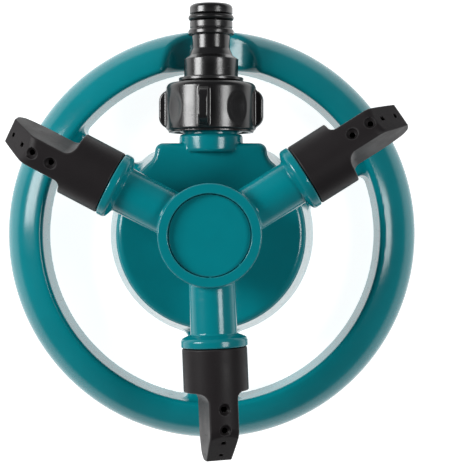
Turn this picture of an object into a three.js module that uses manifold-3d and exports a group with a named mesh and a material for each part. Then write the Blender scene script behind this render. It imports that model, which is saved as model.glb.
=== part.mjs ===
// Three-arm rotary lawn sprinkler on a ring base, with a swivel nut and a quick-connect nipple.
// Millimetres, +Z up. The origin is on the ground under the rotor's axis; the inlet points along +Y.
import * as THREE from 'three';
import { mergeVertices } from 'three/addons/utils/BufferGeometryUtils.js';
import Module from 'manifold-3d';

const wasm = await Module();
wasm.setup();

// ---------------------------------------------------------------- driving dimensions
const GAP = 0.3; // assembly gap between neighbouring pieces
const FINE = 48; // facets round the ring base
const MEDIUM = 24; // facets round hubs, sockets and threads
const SMALL = 12; // facets round screws, bores and seals
const FINEST_DETAIL = 0.05; // slivers smaller than this are dropped from every piece

const WALL = 2.2; // wall of the moulded base
const RING_R = 80; // outer radius of the ring on the ground
const RING_ARC_CENTRE = [64, 3.5]; // radius and height of the centre of the outer curve
const RING_ARC_R = 16;
const RING_ARC_STEPS = 7;
const RING_CREST_FILLET = 1.6;
const RING_INNER_R = 63.8; // inner radius on the ground
const RING_INNER_TOP_R = 64.5; // inner radius under the crest fillet

const SPOKE_ANGLES = [270, 150, 30];
const SPOKE_HALF_W = 9;
const SPOKE_H = 14;

const HOUSING_R = 40.1; // radius of the round housing on the ground
const HOUSING_TOP_R = 35.2;
const HOUSING_H = 36;
const HOUSING_FILLET = 2.5;
const HOUSING_FACE_Y = 34.2; // flat face that carries the inlet
const HOUSING_FACE_HALF_W = 20.9;
const TOP_T = 2.5; // thickness of the housing's top

const INLET_Z = 28; // height of the inlet's axis
const INLET_BOSS_R = 12;
const INLET_BOSS_Y = [30.7, 37.7];
const INLET_NECK_R = 10.65;
const INLET_BORE_R = 6.5;
const DUCT_R = 8.2;
const WELL_R = 11.5; // upright boss that takes the riser
const WELL_BORE_R = 8.3;
const WELL_Z = [16.5, 19]; // underside and floor of the well
const NOTCH_R = 20; // scoop in the ring under the nipple

const PITCH = 1.814; // pipe thread, 14 turns to the inch
const MALE_R = 13.0;
const MALE_ROOT_R = 11.9;
const FEMALE_R = 13.5;
const FEMALE_TIP_R = 12.4;
const SPIGOT_END_Y = 47.8;
const MALE_THREAD_Y = [39.6, 46.8]; // middle of the thread's first and last ridge
const FEMALE_THREAD_Y = [40.0, 49.0];
const THREAD_STEPS = 14; // facets in one turn of thread

const COVER_T = 3;
const COVER_R = 37.1;
const COVER_FACE_Y = 31.6;
const SCREW_R = 29; // radius of the circle of cover screws
const SCREW_ANGLES = [150, 270, 30];
const SCREW_BOSS_R = 3.6;

const ARM_Z = 63; // height of the three arms' axes
const ARM_ANGLES = [272.3, 152.3, 32.3]; // the rotor as it stopped, a little past the spokes
const ARM_R = 8.3;
const ARM_BORE_R = 5.2;
const COLLAR_R = 11.9;
const COLLAR_U = [35.1, 36.5, 39.5]; // flare start, full size and outer face, along the arm
const SPIGOT_R = 8.6;
const SPIGOT_END_U = 50.8;
const BEAD_U = [42.3, 43.7];
const ARM_SEAL_U = 47.3;

const HUB_R = 18.2;
const HUB_NECK_R = 14;
const HUB_Z = [42.1, 73];
const HUB_SKIRT_Z = [46, 50]; // where the neck widens into the drum
const HUB_CAVITY_R = 13;
const HUB_CAVITY_Z = 53;
const CAP_RECESS_R = 14.6;
const CAP_SINK = 0.25; // how far the cap lies below the hub's rim

const SPINDLE_R = 7.5;
const SPINDLE_BORE_R = 4.8;
const SPINDLE_Z = [30, 57.5];
const FLANGE_Z = [36.3, 40.3];
const FLANGE_R = 15.5;
const CLIP_GROOVE_R = 6.3;
const CLIP_R = [6.6, 9.8];
const CLIP_MOUTH_HALF_W = 4;
const BUSH_R = 10;
const BUSH_Z = [44.3, 49.3];
const LIP_SEAL_Z = [49.6, 52.4];

const SOCKET_R = 11.6;
const NOZZLE_U = [39.8, 55.2, 80.2]; // socket mouth, socket end and blade tip
const BLADE_HALF_T = 5.3;
const CHAMBER_U = 49.8; // start of the blade's water space
const NOZZLE_WALL = 2.1;
const BLADE_BOTTOM = -6.5;
const BLADE_SLOPE_U = 69.2; // where the top starts to fall
const BLADE_SLOPE_DEG = 46;
const TIP_CORNER_R = 3.5;
const NOZZLE_LEANS_DEG = [14.5, 18, 17.5]; // each head as it was last set
const JET_R = 1.6;
const JET_U = [60.8, 68.2];
const JET_FLOOR_W = 5; // height above the arm's axis that the jets reach down to
const SLOT_U = [72.8, 77.8];
const SLOT_SIZE = [0.9, 1.45];

const NUT_R = 16.9;
const NUT_Y = [38.3, 57.3];
const NUT_WALL_Y = 52.5; // inner face of the nut's end wall
const NUT_HOLE_R = 9.9;
const NUT_FINS = 4;
const FIN_R = 19.8;
const FIN_Y = [40, 54.6];
const FIN_T = 3.8;
const FIN_TURN_DEG = -8.5; // how far the first fin stands from the top
const SCALLOP_SIZE = [7, 4.5, 9.6]; // half width, depth and length of the ball that cuts a finger dish
const SCALLOP_OUT = 3.2; // how far the ball's centre stands outside the nut

// ---------------------------------------------------------------- materials
const materials = {
  teal: new THREE.MeshStandardMaterial({ color: 0x0f7580, roughness: 0.3, metalness: 0 }),
  black: new THREE.MeshStandardMaterial({ color: 0x262527, roughness: 0.5, metalness: 0 }),
  rubber: new THREE.MeshStandardMaterial({ color: 0x121212, roughness: 0.8, metalness: 0 }),
  white: new THREE.MeshStandardMaterial({ color: 0xe4e2da, roughness: 0.45, metalness: 0 }),
  steel: new THREE.MeshStandardMaterial({ color: 0xb4b6b8, roughness: 0.35, metalness: 1 }),
};
for (const material of Object.values(materials)) {
  material.flatShading = true;
}

// ---------------------------------------------------------------- solid helpers
const radians = THREE.MathUtils.degToRad;

function signedVolume(positions, index) {
  const corner = [0, 1, 2].map(() => new THREE.Vector3());
  let volume = 0;
  for (let i = 0; i < index.length; i += 3) {
    corner.forEach((point, k) => point.fromArray(positions, 3 * index[i + k]));
    volume += corner[0].dot(corner[1].clone().cross(corner[2])) / 6;
  }
  return volume;
}

// A closed geometry as a solid: corners merged, slivers dropped and faces turned outwards.
function solid(geometry) {
  geometry.deleteAttribute('normal');
  geometry.deleteAttribute('uv');
  const merged = mergeVertices(geometry, 1e-4);
  const positions = merged.getAttribute('position').array;
  const index = [];
  for (let i = 0; i < merged.index.count; i += 3) {
    const [a, b, c] = [0, 1, 2].map((k) => merged.index.getX(i + k));
    if (a !== b && b !== c && a !== c) {
      index.push(a, b, c);
    }
  }
  if (signedVolume(positions, index) < 0) {
    index.reverse();
  }
  const mesh = new wasm.Mesh({
    numProp: 3,
    vertProperties: new Float32Array(positions),
    triVerts: new Uint32Array(index),
  });
  return new wasm.Manifold(mesh);
}

function join(...solids) {
  return solids.reduce((sum, next) => sum.add(next));
}

function toMesh(shape, name, material) {
  const { vertProperties, triVerts } = shape.simplify(FINEST_DETAIL).getMesh();
  const geometry = new THREE.BufferGeometry();
  geometry.setAttribute('position', new THREE.BufferAttribute(new Float32Array(vertProperties), 3));
  geometry.setIndex(new THREE.BufferAttribute(new Uint32Array(triVerts), 1));
  geometry.computeVertexNormals();
  const mesh = new THREE.Mesh(geometry, material);
  mesh.name = name;
  return mesh;
}

// Profiles are lists of [radius, height]. They turn about +Z.
function revolve(profile, facets) {
  const points = profile.map(([r, z]) => new THREE.Vector2(r, z));
  return solid(new THREE.LatheGeometry(points, facets).rotateX(Math.PI / 2));
}

function turned(profile, facets) {
  return revolve([[0, profile[0][1]], ...profile, [0, profile.at(-1)[1]]], facets);
}

function hollow(profile, facets) {
  return revolve([...profile, profile[0]], facets);
}

function disc(radius, z0, z1, facets) {
  return turned([[radius, z0], [radius, z1]], facets);
}

function tube(inner, outer, z0, z1, facets) {
  return hollow([[outer, z0], [outer, z1], [inner, z1], [inner, z0]], facets);
}

function block(x0, x1, y0, y1, z0, z1) {
  const geometry = new THREE.BoxGeometry(x1 - x0, y1 - y0, z1 - z0);
  return solid(geometry.translate((x0 + x1) / 2, (y0 + y1) / 2, (z0 + z1) / 2));
}

function torus(radius, thickness) {
  return solid(new THREE.TorusGeometry(radius, thickness, 6, 20));
}

// Places what was made about +Z so that its axis runs along +Y at the inlet's height.
function alongInlet(shape) {
  return shape.rotate([-90, 0, 0]).translate([0, 0, INLET_Z]);
}

// Places what was made about +Z so that its axis runs out along the arm at the given angle.
function alongArm(shape, angle) {
  return shape.rotate([0, 90, 0]).rotate([0, 0, angle]).translate([0, 0, ARM_Z]);
}

// A helical ridge about +Z: its section is a trapezium that stands on rootR and ends at tipR.
function threadRidge(rootR, tipR, rootW, tipW, [z0, z1]) {
  const section = new THREE.Shape([
    new THREE.Vector2(rootR, -rootW / 2),
    new THREE.Vector2(tipR, -tipW / 2),
    new THREE.Vector2(tipR, tipW / 2),
    new THREE.Vector2(rootR, rootW / 2),
  ]);
  const turns = (z1 - z0) / PITCH;
  const steps = Math.round(turns * THREAD_STEPS);
  const bar = new THREE.ExtrudeGeometry(section, { depth: turns, steps, bevelEnabled: false });
  const points = bar.getAttribute('position');
  for (let i = 0; i < points.count; i += 1) {
    const turn = points.getZ(i);
    const angle = 2 * Math.PI * turn;
    const radius = points.getX(i);
    const height = z0 + points.getY(i) + PITCH * turn;
    points.setXYZ(i, radius * Math.cos(angle), radius * Math.sin(angle), height);
  }
  return solid(bar);
}

// ---------------------------------------------------------------- base
// The ring's outline from the outer edge on the ground, over the crest, to the inner edge.
function ringOutline(inset) {
  const [centreR, centreZ] = RING_ARC_CENTRE;
  const arc = RING_ARC_R - inset;
  const fillet = Math.max(RING_CREST_FILLET - inset, 0.8);
  const crestR = RING_INNER_TOP_R + inset + fillet;
  const crestTurn = Math.acos((crestR - centreR) / (arc - fillet));
  const crestZ = centreZ + (arc - fillet) * Math.sin(crestTurn);
  const skirtTurn = Math.acos((RING_R - inset - centreR) / arc);
  const outer = [];
  for (let i = 0; i <= RING_ARC_STEPS; i += 1) {
    const turn = THREE.MathUtils.lerp(skirtTurn, crestTurn, i / RING_ARC_STEPS);
    outer.push([centreR + arc * Math.cos(turn), centreZ + arc * Math.sin(turn)]);
  }
  const inner = [90, 135, 180].map(radians).map((turn) => (
    [crestR + fillet * Math.cos(turn), crestZ + fillet * Math.sin(turn)]
  ));
  return [[RING_R - inset, 0], ...outer, ...inner, [RING_INNER_R + inset, 0]];
}

// Moves the foot of an outline down, so that what it cuts is open underneath.
function openBelow(outline) {
  return outline.map(([r, z]) => [r, z === 0 ? -1 : z]);
}

function baseFrame() {
  const scoop = (radius) => alongInlet(disc(radius, 55, 95, MEDIUM));
  const ringSolid = hollow(ringOutline(0), FINE).subtract(scoop(NOTCH_R));
  const ringSpace = hollow(openBelow(ringOutline(WALL)), FINE).subtract(scoop(NOTCH_R + WALL));
  let frame = ringSolid.subtract(ringSpace);

  for (const angle of SPOKE_ANGLES) {
    const bar = block(30, RING_INNER_R + 1.4, -SPOKE_HALF_W, SPOKE_HALF_W, 0, SPOKE_H);
    const reach = [HOUSING_R + 0.2, RING_INNER_R - 0.2];
    const halfSpace = SPOKE_HALF_W - WALL;
    const space = block(reach[0], reach[1], -halfSpace, halfSpace, -1, SPOKE_H - WALL);
    frame = frame.add(bar.subtract(space).rotate([0, 0, angle]));
  }

  const cup = turned([
    [HOUSING_R, 0],
    [HOUSING_TOP_R, HOUSING_H - HOUSING_FILLET],
    [HOUSING_TOP_R - 0.8, HOUSING_H - 0.8],
    [HOUSING_TOP_R - HOUSING_FILLET, HOUSING_H],
  ], FINE);
  const cupSpace = turned([
    [HOUSING_R - WALL, -0.01],
    [HOUSING_TOP_R - WALL, HOUSING_H - TOP_T],
  ], FINE);
  const front = block(-50, 50, -50, HOUSING_FACE_Y, -1, 50);
  const frontInside = block(-50, 50, -50, HOUSING_FACE_Y - WALL, -1, 50);
  const halfW = HOUSING_FACE_HALF_W;
  const face = block(-halfW, halfW, 10, HOUSING_FACE_Y, 0, HOUSING_H);
  const faceSpace = block(WALL - halfW, halfW - WALL, 10, HOUSING_FACE_Y - WALL, -1, HOUSING_H - TOP_T);
  const space = cupSpace.intersect(frontInside).add(faceSpace);
  const solidHousing = join(cup.intersect(front), face);
  frame = frame.add(solidHousing).subtract(space);

  const below = block(-50, 50, -50, 100, 0, HOUSING_H);
  const duct = alongInlet(disc(DUCT_R, 0, HOUSING_FACE_Y, MEDIUM)).intersect(below);
  const well = disc(WELL_R, WELL_Z[0], HOUSING_H - 1, MEDIUM);
  const bossProfile = [
    [INLET_BOSS_R - 0.8, INLET_BOSS_Y[0]],
    [INLET_BOSS_R, INLET_BOSS_Y[0] + 0.8],
    [INLET_BOSS_R, INLET_BOSS_Y[1] - 1.2],
    [INLET_BOSS_R - 0.7, INLET_BOSS_Y[1]],
    [INLET_NECK_R, INLET_BOSS_Y[1]],
    [INLET_NECK_R, INLET_BOSS_Y[1] + 0.9],
    [MALE_ROOT_R, INLET_BOSS_Y[1] + 0.9],
    [MALE_ROOT_R, SPIGOT_END_Y],
  ];
  const boss = alongInlet(turned(bossProfile, MEDIUM));
  const ridge = alongInlet(threadRidge(MALE_ROOT_R - 0.3, MALE_R, 1.2, 0.4, MALE_THREAD_Y));
  frame = join(frame, duct, well, boss, ridge);

  for (const angle of SCREW_ANGLES) {
    const post = disc(SCREW_BOSS_R, COVER_T + GAP, HOUSING_H - 1, SMALL);
    const pilot = disc(1.8, 0, 14, SMALL);
    frame = frame.add(post.subtract(pilot).translate([SCREW_R, 0, 0]).rotate([0, 0, angle]));
  }

  const bore = alongInlet(disc(INLET_BORE_R, 0, SPIGOT_END_Y + 1, SMALL));
  const wellBore = disc(WELL_BORE_R, WELL_Z[1], HOUSING_H + 1, MEDIUM);
  return frame.subtract(bore).subtract(wellBore);
}

function bottomCover() {
  const inside = block(-50, 50, -50, COVER_FACE_Y, -1, 10);
  let cover = disc(COVER_R, 0, COVER_T, FINE).intersect(inside);
  for (const angle of SCREW_ANGLES) {
    const hole = join(disc(1.8, -1, COVER_T + 1, SMALL), disc(3.5, -1, 1.9, SMALL));
    cover = cover.subtract(hole.translate([SCREW_R, 0, 0]).rotate([0, 0, angle]));
  }
  return cover;
}

function coverScrew(angle) {
  const screw = turned([[2.5, 0.3], [3.1, 0.8], [3.1, 1.6], [1.5, 1.6], [1.5, 12.5], [0.6, 13.4]], SMALL);
  return screw.translate([SCREW_R, 0, 0]).rotate([0, 0, angle]);
}

// ---------------------------------------------------------------- riser and bearing
const RISER_SEAL_R = 10.5;
const CLIP_GROOVE_Z = [54.3, 55.9];

function riserSpindle() {
  const groove = tube(RISER_SEAL_R - 1.1, RISER_SEAL_R + 1.1, FLANGE_Z[0] - 1, FLANGE_Z[0] + 1.9, MEDIUM);
  return hollow([
    [WELL_BORE_R - GAP, SPINDLE_Z[0]],
    [WELL_BORE_R - GAP, FLANGE_Z[0]],
    [FLANGE_R, FLANGE_Z[0]],
    [FLANGE_R, FLANGE_Z[1] - 0.6],
    [FLANGE_R - 0.6, FLANGE_Z[1]],
    [SPINDLE_R, FLANGE_Z[1]],
    [SPINDLE_R, CLIP_GROOVE_Z[0]],
    [CLIP_GROOVE_R, CLIP_GROOVE_Z[0]],
    [CLIP_GROOVE_R, CLIP_GROOVE_Z[1]],
    [SPINDLE_R, CLIP_GROOVE_Z[1]],
    [SPINDLE_R, SPINDLE_Z[1] - 0.5],
    [SPINDLE_R - 0.5, SPINDLE_Z[1]],
    [SPINDLE_BORE_R, SPINDLE_Z[1]],
    [SPINDLE_BORE_R, SPINDLE_Z[0]],
  ], MEDIUM).subtract(groove);
}

function riserSeal() {
  return torus(RISER_SEAL_R, 0.8).translate([0, 0, FLANGE_Z[0] + 0.8]);
}

function thrustWasher() {
  return tube(SPINDLE_R + GAP, HUB_NECK_R - 0.5, FLANGE_Z[1] + GAP, HUB_Z[0] - GAP, MEDIUM);
}

function bearingBush() {
  return tube(SPINDLE_R + GAP, BUSH_R, BUSH_Z[0], BUSH_Z[1], MEDIUM);
}

// A lip seal: its groove faces the water above.
function hubSeal() {
  const [low, high] = LIP_SEAL_Z;
  return hollow([
    [BUSH_R, low],
    [BUSH_R, high],
    [BUSH_R - 0.6, high],
    [BUSH_R - 0.9, low + 1],
    [BUSH_R - 1.3, low + 1],
    [BUSH_R - 1.6, high],
    [SPINDLE_R + GAP, high],
    [SPINDLE_R + GAP, low],
  ], MEDIUM);
}

function retainingWasher() {
  return tube(SPINDLE_R + GAP, HUB_CAVITY_R - 1, HUB_CAVITY_Z + GAP, CLIP_GROOVE_Z[0], MEDIUM);
}

function retainingRing() {
  const [low, high] = [CLIP_GROOVE_Z[0] + GAP, CLIP_GROOVE_Z[1] - GAP];
  const mouth = block(0, CLIP_R[1] + 1, -CLIP_MOUTH_HALF_W, CLIP_MOUTH_HALF_W, low - 1, high + 1);
  return tube(CLIP_R[0], CLIP_R[1], low, high, MEDIUM).subtract(mouth);
}

// ---------------------------------------------------------------- rotor
const CAP_LEDGE_Z = 69.9;
const CAP_SEAL_Z = 69.0;
const CAP_PLUG_Z = 66.8;

function rotorHub() {
  let hub = turned([
    [HUB_NECK_R, HUB_Z[0]],
    [HUB_NECK_R, HUB_SKIRT_Z[0]],
    [HUB_R - 0.6, HUB_SKIRT_Z[1]],
    [HUB_R, HUB_SKIRT_Z[1] + 1],
    [HUB_R, HUB_Z[1] - 0.8],
    [HUB_R - 0.8, HUB_Z[1]],
  ], FINE);
  for (const angle of ARM_ANGLES) {
    const arm = turned([
      [ARM_R, 0],
      [ARM_R, COLLAR_U[0]],
      [ARM_R + 0.9, COLLAR_U[0] + 0.5],
      [COLLAR_R, COLLAR_U[1]],
      [COLLAR_R, COLLAR_U[2]],
      [SPIGOT_R, COLLAR_U[2]],
      [SPIGOT_R, BEAD_U[0]],
      [SPIGOT_R + 0.6, BEAD_U[0]],
      [SPIGOT_R, BEAD_U[1]],
      [SPIGOT_R, ARM_SEAL_U - 1],
      [SPIGOT_R - 1.3, ARM_SEAL_U - 1],
      [SPIGOT_R - 1.3, ARM_SEAL_U + 1],
      [SPIGOT_R, ARM_SEAL_U + 1],
      [SPIGOT_R, SPIGOT_END_U - 0.6],
      [SPIGOT_R - 0.6, SPIGOT_END_U],
    ], MEDIUM);
    hub = hub.add(alongArm(arm, angle));
  }
  for (const angle of ARM_ANGLES) {
    hub = hub.subtract(alongArm(disc(ARM_BORE_R, 0, SPIGOT_END_U + 1, SMALL), angle));
  }
  const inside = join(
    disc(SPINDLE_R + 0.6, HUB_Z[0] - 1, BUSH_Z[0] + 0.2, MEDIUM),
    disc(BUSH_R + GAP, BUSH_Z[0] - GAP, HUB_CAVITY_Z + 1, MEDIUM),
    disc(HUB_CAVITY_R, HUB_CAVITY_Z, HUB_Z[1] + 1, MEDIUM),
    disc(CAP_RECESS_R, CAP_LEDGE_Z, HUB_Z[1] + 1, FINE),
  );
  return hub.subtract(inside);
}

function hubCap() {
  const top = HUB_Z[1] - CAP_SINK;
  const rim = CAP_RECESS_R - GAP;
  return turned([
    [HUB_CAVITY_R - 1.6, CAP_PLUG_Z],
    [HUB_CAVITY_R - GAP, CAP_PLUG_Z],
    [HUB_CAVITY_R - GAP, CAP_SEAL_Z - 0.85],
    [HUB_CAVITY_R - 1.9, CAP_SEAL_Z - 0.85],
    [HUB_CAVITY_R - 1.9, CAP_LEDGE_Z + GAP],
    [rim, CAP_LEDGE_Z + GAP],
    [rim, top - 0.5],
    [rim - 0.5, top],
  ], FINE);
}

function capSeal() {
  return torus(HUB_CAVITY_R - 0.85, 0.6).translate([0, 0, CAP_SEAL_Z + 0.1]);
}

function armSeal(angle) {
  return alongArm(torus(SPIGOT_R - 0.4, 0.6).translate([0, 0, ARM_SEAL_U]), angle);
}

// ---------------------------------------------------------------- nozzles
// Side outline of the blade: along the arm, and up from the arm's axis.
function bladeOutline(inset, start) {
  const top = SOCKET_R - inset;
  const bottom = BLADE_BOTTOM + inset;
  const tip = NOZZLE_U[2] - inset;
  const fall = Math.tan(radians(BLADE_SLOPE_DEG));
  const shape = new THREE.Shape();
  shape.moveTo(start, bottom);
  shape.lineTo(tip - TIP_CORNER_R, bottom);
  shape.absarc(tip - TIP_CORNER_R, bottom + TIP_CORNER_R, TIP_CORNER_R, -Math.PI / 2, 0, false);
  shape.lineTo(tip, SOCKET_R - (tip - BLADE_SLOPE_U) * fall - inset);
  shape.lineTo(BLADE_SLOPE_U - inset / 2, top);
  shape.lineTo(start, top);
  return shape;
}

// A plate of the given outline, half on each side of the plane through the arm's axis.
function bladePlate(shape, halfT) {
  const options = { depth: 2 * halfT, bevelEnabled: false, curveSegments: 3 };
  const geometry = new THREE.ExtrudeGeometry(shape, options).translate(0, 0, -halfT);
  return solid(geometry.rotateX(Math.PI / 2));
}

function nozzleHead(angle, lean) {
  const along = (shape) => shape.rotate([0, 90, 0]);
  const socket = along(turned([
    [SOCKET_R - 0.3, NOZZLE_U[0]],
    [SOCKET_R, NOZZLE_U[0] + 0.3],
    [SOCKET_R, NOZZLE_U[1] - 1.2],
    [SOCKET_R - 1.2, NOZZLE_U[1]],
  ], MEDIUM));
  const round = along(disc(SOCKET_R, CHAMBER_U - 6, NOZZLE_U[2] + 1, MEDIUM));
  const blade = bladePlate(bladeOutline(0, CHAMBER_U - 1), BLADE_HALF_T).intersect(round);
  const bore = along(turned([
    [SPIGOT_R + 0.4, NOZZLE_U[0] - 1],
    [SPIGOT_R + 0.4, BEAD_U[0] - 0.4],
    [SPIGOT_R + 1.0, BEAD_U[0] - 0.4],
    [SPIGOT_R + 0.4, BEAD_U[1] + 0.5],
    [SPIGOT_R + 0.4, SPIGOT_END_U + 0.8],
  ], MEDIUM));
  const inner = along(disc(SOCKET_R - NOZZLE_WALL, CHAMBER_U - 6, NOZZLE_U[2], MEDIUM));
  const space = bladeOutline(NOZZLE_WALL, CHAMBER_U);
  const chamber = bladePlate(space, BLADE_HALF_T - NOZZLE_WALL).intersect(inner);
  let nozzle = socket.add(blade).subtract(bore).subtract(chamber);
  for (const u of JET_U) {
    nozzle = nozzle.subtract(disc(JET_R, JET_FLOOR_W, SOCKET_R + 1, 12).translate([u, 0, 0]));
  }
  const [long, across] = SLOT_SIZE.map((size) => size / 2);
  for (const u of SLOT_U) {
    nozzle = nozzle.subtract(block(u - long, u + long, -across, across, 1, SOCKET_R + 1));
  }
  return nozzle.rotate([-lean, 0, 0]).rotate([0, 0, angle]).translate([0, 0, ARM_Z]);
}

// ---------------------------------------------------------------- hose connector
function connectorNut() {
  let nut = turned([
    [NUT_R - 1.0, NUT_Y[0]],
    [NUT_R - 0.6, NUT_Y[0] + 0.9],
    [NUT_R, NUT_Y[0] + 1.4],
    [NUT_R, NUT_Y[1] - 2.4],
    [NUT_R - 0.5, NUT_Y[1] - 1.1],
    [NUT_R - 1.5, NUT_Y[1] - 0.35],
    [NUT_R - 3.6, NUT_Y[1]],
  ], MEDIUM);
  const finShape = new THREE.Shape();
  finShape.moveTo(FIN_Y[0], NUT_R - 1);
  finShape.quadraticCurveTo(FIN_Y[0] + 1.2, FIN_R, FIN_Y[0] + 5, FIN_R);
  finShape.lineTo(FIN_Y[1] - 5, FIN_R);
  finShape.quadraticCurveTo(FIN_Y[1] - 1.2, FIN_R - 0.3, FIN_Y[1], NUT_R - 2);
  finShape.lineTo(FIN_Y[1], 10);
  finShape.lineTo(FIN_Y[0], 10);
  const finOptions = { depth: FIN_T, bevelEnabled: false, curveSegments: 3 };
  for (let i = 0; i < NUT_FINS; i += 1) {
    const turn = FIN_TURN_DEG + (i * 360) / NUT_FINS;
    const finGeometry = new THREE.ExtrudeGeometry(finShape, finOptions).translate(0, 0, -FIN_T / 2);
    const fin = solid(finGeometry).rotate([0, -90, 0]).rotate([0, 0, 90 + turn]);
    nut = nut.add(fin);
    const dish = new THREE.SphereGeometry(1, 20, 14).scale(...SCALLOP_SIZE);
    const middle = (FIN_Y[0] + FIN_Y[1]) / 2;
    const scallop = solid(dish).translate([0, NUT_R + SCALLOP_OUT, middle]).rotate([0, 0, turn + 45]);
    nut = nut.subtract(scallop);
  }
  const inside = join(
    disc(FEMALE_R + 0.4, NUT_Y[0] - 1, NUT_Y[0] + 0.7, MEDIUM),
    disc(FEMALE_R, NUT_Y[0] - 1, NUT_WALL_Y, MEDIUM),
    disc(NUT_HOLE_R, NUT_Y[0], NUT_Y[1] + 1, MEDIUM),
  );
  const start = FEMALE_THREAD_Y[0] - ((FEMALE_THREAD_Y[0] - MALE_THREAD_Y[0]) % PITCH) + PITCH / 2;
  const ridge = threadRidge(FEMALE_R + 0.3, FEMALE_TIP_R, 1.2, 0.4, [start, FEMALE_THREAD_Y[1]]);
  return alongInlet(nut.subtract(inside).add(ridge));
}

// Distances along the inlet and radii of the nipple.
const CONNECTOR_SEAL_Y = 81.6;
const CONNECTOR_SEAL_R = 7.5;
const NIPPLE_FLANGE_Y = [50.8, 52.2];
const NIPPLE_SHOULDER_Y = [57.8, 59];
const NIPPLE_BODY_R = 10.2;
const NIPPLE_NECK_R = 7.07;
const NIPPLE_LIP_Y = [75.1, 76.7];
const NIPPLE_LIP_R = 8.65;
const NIPPLE_END_Y = 86.7;
const NIPPLE_R = 8.1;
const NIPPLE_BORE_R = 4.8;

function quickConnector() {
  const stem = NUT_HOLE_R - 0.4;
  return alongInlet(hollow([
    [12, NIPPLE_FLANGE_Y[0]],
    [12, NIPPLE_FLANGE_Y[1] - 0.8],
    [11.4, NIPPLE_FLANGE_Y[1]],
    [stem, NIPPLE_FLANGE_Y[1]],
    [stem, NIPPLE_SHOULDER_Y[0]],
    [12.2, NIPPLE_SHOULDER_Y[0]],
    [12.2, NIPPLE_SHOULDER_Y[1]],
    [NIPPLE_BODY_R, NIPPLE_SHOULDER_Y[1]],
    [NIPPLE_BODY_R, 65.8],
    [NIPPLE_BODY_R - 0.6, 66.6],
    [7.9, 67.8],
    [NIPPLE_NECK_R, 69.8],
    [NIPPLE_NECK_R, NIPPLE_LIP_Y[0]],
    [NIPPLE_LIP_R - 0.3, NIPPLE_LIP_Y[0]],
    [NIPPLE_LIP_R, NIPPLE_LIP_Y[0] + 0.5],
    [NIPPLE_LIP_R, NIPPLE_LIP_Y[1]],
    [NIPPLE_R - 0.2, NIPPLE_LIP_Y[1] + 0.7],
    [NIPPLE_R, NIPPLE_LIP_Y[1] + 1.2],
    [NIPPLE_R, CONNECTOR_SEAL_Y - 1.4],
    [NIPPLE_R - 2, CONNECTOR_SEAL_Y - 1.4],
    [NIPPLE_R - 2, CONNECTOR_SEAL_Y + 1.4],
    [NIPPLE_R, CONNECTOR_SEAL_Y + 1.4],
    [NIPPLE_R + 0.05, NIPPLE_END_Y - 1.8],
    [NIPPLE_R - 0.4, NIPPLE_END_Y - 0.6],
    [6.9, NIPPLE_END_Y],
    [5.5, NIPPLE_END_Y],
    [NIPPLE_BORE_R, NIPPLE_END_Y - 0.7],
    [NIPPLE_BORE_R, NIPPLE_FLANGE_Y[0]],
  ], MEDIUM));
}

function connectorSeal() {
  return alongInlet(torus(CONNECTOR_SEAL_R, 1.1).translate([0, 0, CONNECTOR_SEAL_Y]));
}

function inletWasher() {
  return alongInlet(tube(7, 12, SPIGOT_END_Y + GAP, NIPPLE_FLANGE_Y[0] - GAP, MEDIUM));
}

// ---------------------------------------------------------------- assembly
const group = new THREE.Group();

function addPiece(name, shape, material) {
  group.add(toMesh(shape, name, materials[material]));
}

addPiece('base_frame', baseFrame(), 'teal');
addPiece('bottom_cover', bottomCover(), 'black');
SCREW_ANGLES.forEach((angle, i) => addPiece(`cover_screw_${i + 1}`, coverScrew(angle), 'steel'));
addPiece('riser_spindle', riserSpindle(), 'white');
addPiece('riser_seal', riserSeal(), 'rubber');
addPiece('thrust_washer', thrustWasher(), 'white');
addPiece('retaining_washer', retainingWasher(), 'steel');
addPiece('retaining_ring', retainingRing(), 'steel');
addPiece('rotor_hub', rotorHub(), 'teal');
addPiece('bearing_bush', bearingBush(), 'white');
addPiece('hub_seal', hubSeal(), 'rubber');
addPiece('hub_cap', hubCap(), 'teal');
addPiece('cap_seal', capSeal(), 'rubber');
ARM_ANGLES.forEach((angle, i) => addPiece(`arm_seal_${i + 1}`, armSeal(angle), 'rubber'));
ARM_ANGLES.forEach((angle, i) => {
  addPiece(`nozzle_head_${i + 1}`, nozzleHead(angle, NOZZLE_LEANS_DEG[i]), 'black');
});
addPiece('inlet_washer', inletWasher(), 'rubber');
addPiece('connector_nut', connectorNut(), 'black');
addPiece('quick_connector', quickConnector(), 'black');
addPiece('connector_seal', connectorSeal(), 'rubber');

export default group;
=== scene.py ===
"""Rotary lawn sprinkler: detailed pieces, materials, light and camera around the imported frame."""
import math

import bpy
import numpy as np
from mathutils import Matrix, Vector


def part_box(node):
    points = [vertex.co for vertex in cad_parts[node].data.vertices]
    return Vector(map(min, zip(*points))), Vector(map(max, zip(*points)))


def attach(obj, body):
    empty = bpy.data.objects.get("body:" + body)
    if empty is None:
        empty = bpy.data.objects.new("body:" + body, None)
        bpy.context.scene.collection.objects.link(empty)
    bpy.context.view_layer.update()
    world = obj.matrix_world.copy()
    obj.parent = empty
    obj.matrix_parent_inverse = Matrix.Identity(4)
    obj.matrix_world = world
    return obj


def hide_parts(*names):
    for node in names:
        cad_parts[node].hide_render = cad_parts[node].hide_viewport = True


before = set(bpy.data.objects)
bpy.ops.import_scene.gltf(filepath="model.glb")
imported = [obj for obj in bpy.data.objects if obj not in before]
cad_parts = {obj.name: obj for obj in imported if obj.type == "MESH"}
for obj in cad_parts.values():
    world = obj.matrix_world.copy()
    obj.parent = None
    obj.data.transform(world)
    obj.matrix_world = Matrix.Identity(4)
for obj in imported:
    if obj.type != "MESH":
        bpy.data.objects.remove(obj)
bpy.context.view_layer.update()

MM = 0.001  # the shapes below are worked out in millimetres


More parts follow.
